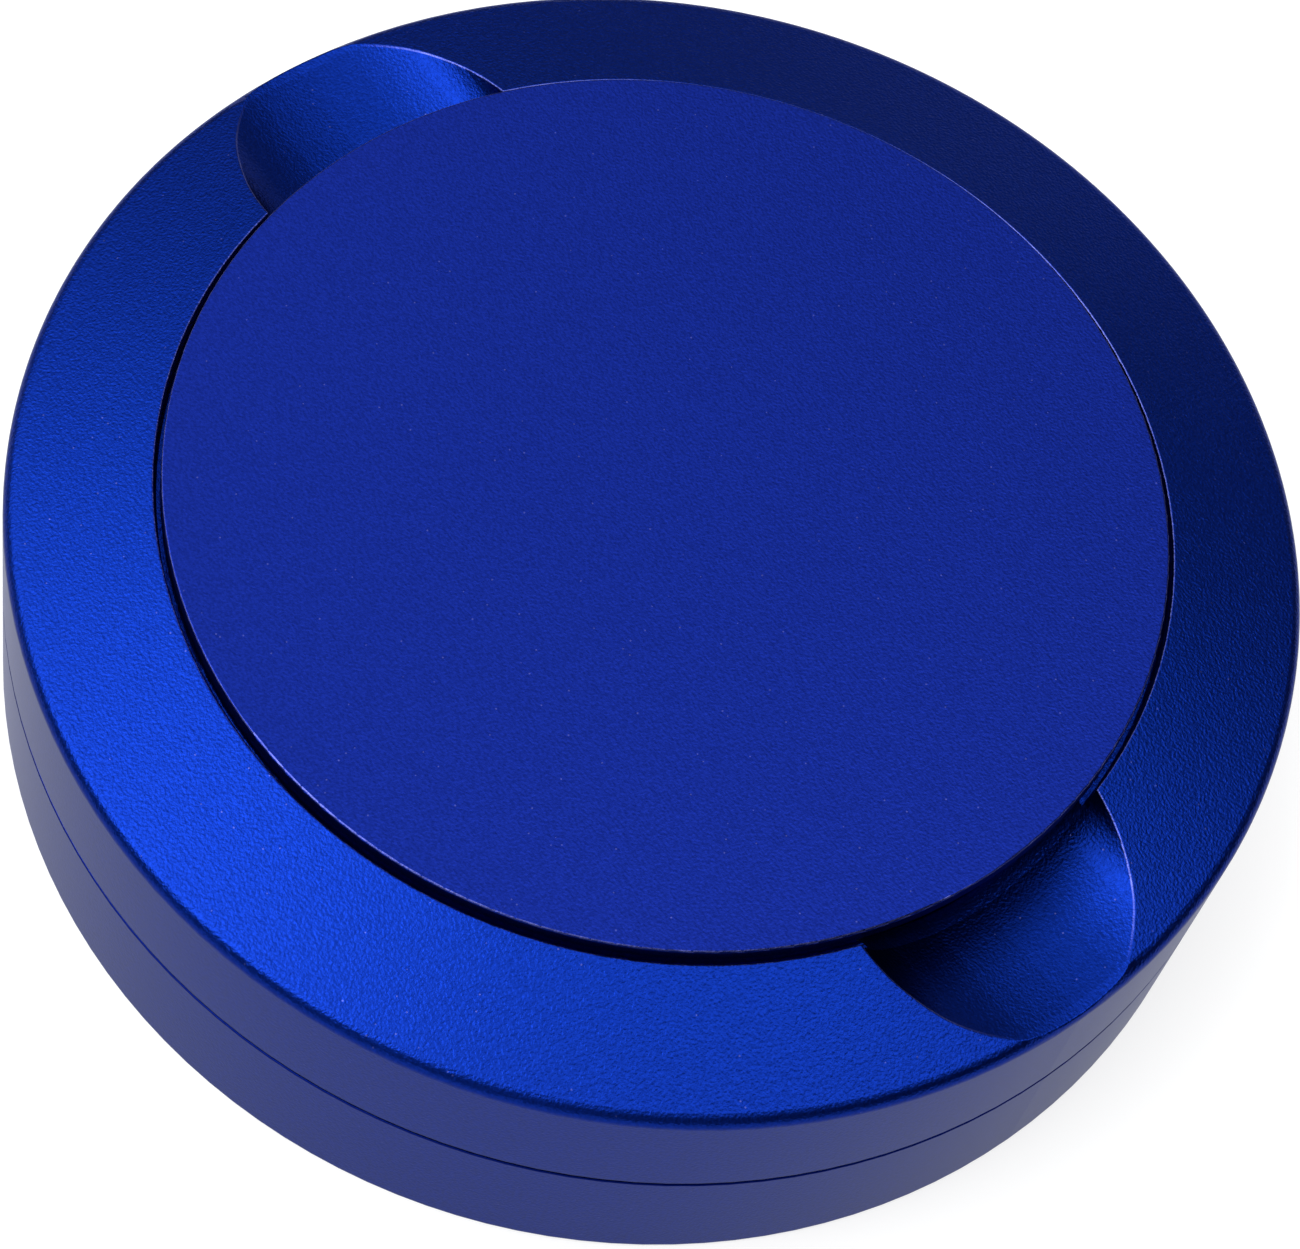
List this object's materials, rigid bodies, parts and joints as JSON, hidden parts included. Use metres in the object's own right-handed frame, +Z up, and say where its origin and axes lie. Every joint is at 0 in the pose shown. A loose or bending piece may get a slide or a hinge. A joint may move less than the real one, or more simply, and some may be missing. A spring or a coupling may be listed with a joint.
{
  "type": "two-compartment pocket can",
  "caption": "Round blue anodised pocket can: a base cup closed by a push-on top shell, with a small tray in the top under a lift-out centre lid between finger notches.",
  "frame": {"origin": "centre of the base's underside, on the table", "axes": "+Z up along the can's axis; the two finger notches lie on the X axis"},
  "size_m": [0.07, 0.07, 0.0195],
  "materials": {
    "anodised_base": "bead-blasted, blue anodised",
    "anodised_shell": "bead-blasted, blue anodised",
    "anodised_lid": "bead-blasted, blue anodised",
    "black_rubber": "smooth",
    "pale_silicone": "satin"
  },
  "bodies": {
    "base": {"base_cup": "anodised_base"},
    "neck_ring": {"neck_seal_ring": "black_rubber"},
    "shell": {"top_shell": "anodised_shell"},
    "lid_ring": {"lid_seal_ring": "pale_silicone"},
    "lid": {"centre_lid": "anodised_lid"}
  },
  "joints": [
    {"name": "shell_turn", "type": "hinge", "parent": "base", "child": "neck_ring", "pos_m": [0, 0, 0.0112], "axis": [0, 0, 1], "continuous": true},
    {"name": "shell_lift", "type": "slide", "parent": "neck_ring", "child": "shell", "axis": [0, 0, 1], "range_m": [0, 0.03]},
    {"name": "lid_lift", "type": "slide", "parent": "shell", "child": "lid_ring", "axis": [0, 0, 1], "range_m": [0, 0.02]},
    {"name": "lid_turn", "type": "hinge", "parent": "lid_ring", "child": "lid", "pos_m": [0, 0, 0.0174], "axis": [0, 0, 1], "continuous": true}
  ]
}
